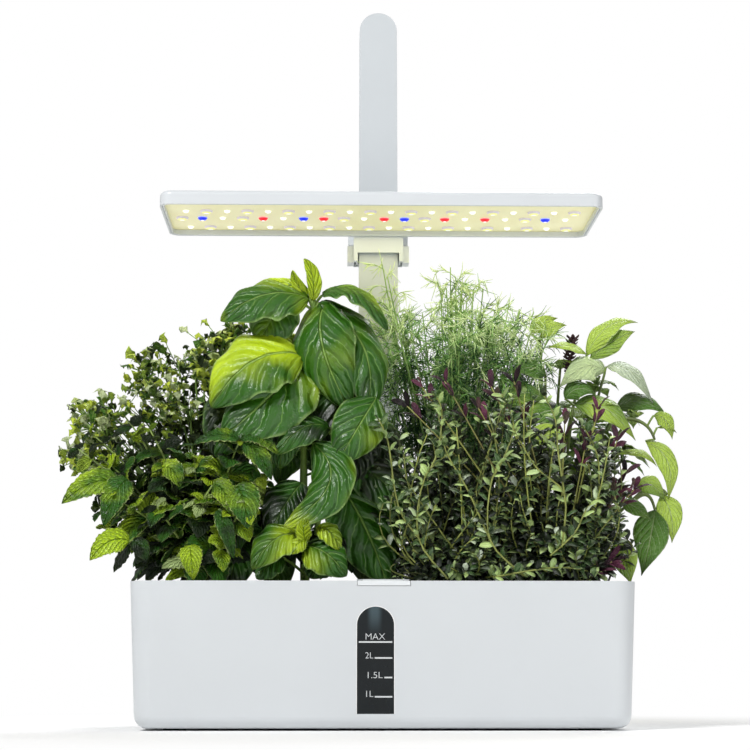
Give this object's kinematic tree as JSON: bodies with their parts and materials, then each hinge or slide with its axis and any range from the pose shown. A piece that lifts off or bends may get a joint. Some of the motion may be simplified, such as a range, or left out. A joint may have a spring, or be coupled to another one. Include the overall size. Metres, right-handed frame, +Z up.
{
  "type": "countertop hydroponic garden",
  "caption": "Countertop hydroponic garden: drafted water tank with level window, planted deck, refill flap, pump, and a wide LED lamp that slides on a flat round-topped mast.",
  "frame": {"origin": "middle of the tank's footprint, on the table under the middle foot", "axes": "+X to the right, +Y to the back, +Z up along the mast"},
  "size_m": [0.3999, 0.1551, 0.488],
  "materials": {
    "white_shell": "satin white moulded plastic",
    "dark_window": "gloss smoked window",
    "black_rubber": "matte rubber",
    "print_white": "printed light grey",
    "steel": "plain steel",
    "black_plastic": "matte black plastic",
    "brass": "plain brass",
    "clear_silicone": "milky silicone",
    "impeller_plastic": "matte cream plastic",
    "magnet": "ferrite magnet",
    "basket_plastic": "matte dark plastic",
    "grow_sponge": "damp peat sponge",
    "parsley_leaf": "matte curly leaf",
    "mint_leaf": "veined matte leaf",
    "basil_leaf": "glossy crinkled leaf",
    "dill_leaf": "fine feathery leaf",
    "thyme_leaf": "small matte leaf",
    "purple_leaf": "dark purple leaf",
    "lemon_leaf": "pale satin leaf",
    "rail_metal": "satin anodised",
    "led_plate": "cream white reflector",
    "led_white": "lit white lens",
    "led_warm": "lit warm lens",
    "led_colour": "lit red or blue lens",
    "circuit_board": "green circuit board",
    "button_grey": "satin pale grey plastic"
  },
  "bodies": {
    "base": {"tank_shell": "white_shell", "window_panel": "dark_window", "window_gasket": "black_rubber", "level_marks": "print_white", "rubber_feet": "black_rubber", "mast_socket": "white_shell", "socket_screws": "steel", "dc_jack": "black_plastic", "contact_block": "brass", "supply_lead": "black_rubber", "pump_body": "black_plastic", "pump_cover": "black_plastic", "pump_grille": "black_plastic", "suction_cups": "clear_silicone", "pump_riser": "clear_silicone", "pump_lead": "black_rubber", "impeller_shaft": "steel"},
    "rotor": {"impeller": "impeller_plastic", "impeller_magnet": "magnet"},
    "deck": {"grow_deck": "white_shell", "basket_1": "basket_plastic", "basket_2": "basket_plastic", "basket_3": "basket_plastic", "basket_4": "basket_plastic", "basket_5": "basket_plastic", "basket_6": "basket_plastic", "basket_7": "basket_plastic", "basket_8": "basket_plastic", "grow_sponges": "grow_sponge", "flap_pin": "steel", "parsley": "parsley_leaf", "mint": "mint_leaf", "basil_front": "basil_leaf", "basil_rear": "basil_leaf", "dill": "dill_leaf", "thyme": "thyme_leaf", "purple_basil": "purple_leaf", "lemon_basil": "lemon_leaf"},
    "flap": {"fill_flap": "white_shell"},
    "mast": {"mast_cover": "white_shell", "mast_rail": "rail_metal", "power_strips": "brass"},
    "lamp": {"lamp_housing": "white_shell", "lamp_bezel": "white_shell", "led_board": "led_plate", "leds_white": "led_white", "leds_warm": "led_warm", "leds_coloured": "led_colour", "control_board": "circuit_board", "lamp_screws": "steel", "slider_saddle": "white_shell", "slider_plate": "white_shell", "slider_screws": "steel", "brush_contacts": "brass", "spring_left": "steel", "spring_right": "steel"},
    "power_key": {"power_button": "button_grey"},
    "mode_key": {"mode_button": "button_grey"},
    "left_release": {"release_left": "button_grey"},
    "right_release": {"release_right": "button_grey"}
  },
  "joints": [
    {"name": "impeller_spin", "type": "hinge", "parent": "base", "child": "rotor", "pos_m": [0.0765, 0.03, 0.022], "axis": [1, 0, 0], "continuous": true},
    {"name": "deck_lift", "type": "slide", "parent": "base", "child": "deck", "axis": [0, 0, 1], "range_m": [0, 0.02]},
    {"name": "flap_hinge", "type": "hinge", "parent": "deck", "child": "flap", "pos_m": [0, -0.049, 0.0888], "axis": [-1, 0, 0], "range_deg": [0, 95]},
    {"name": "mast_pull", "type": "slide", "parent": "base", "child": "mast", "axis": [0, 0, 1], "range_m": [0, 0.05]},
    {"name": "lamp_height", "type": "slide", "parent": "mast", "child": "lamp", "axis": [0, 0, 1], "range_m": [-0.02, 0.12]},
    {"name": "power_press", "type": "slide", "parent": "lamp", "child": "power_key", "axis": [0, 0, -1], "range_m": [0, 0.0006], "stiffness_N_per_m": 800, "springref_m": -0.0005},
    {"name": "mode_press", "type": "slide", "parent": "lamp", "child": "mode_key", "axis": [0, 0, -1], "range_m": [0, 0.0006], "stiffness_N_per_m": 800, "springref_m": -0.0005},
    {"name": "left_release_press", "type": "slide", "parent": "lamp", "child": "left_release", "axis": [1, 0, 0], "range_m": [0, 0.0014], "stiffness_N_per_m": 900, "springref_m": -0.001, "deforming": ["spring_left"]},
    {"name": "right_release_press", "type": "slide", "parent": "lamp", "child": "right_release", "axis": [-1, 0, 0], "range_m": [0, 0.0014], "stiffness_N_per_m": 900, "springref_m": -0.001, "deforming": ["spring_right"]}
  ]
}
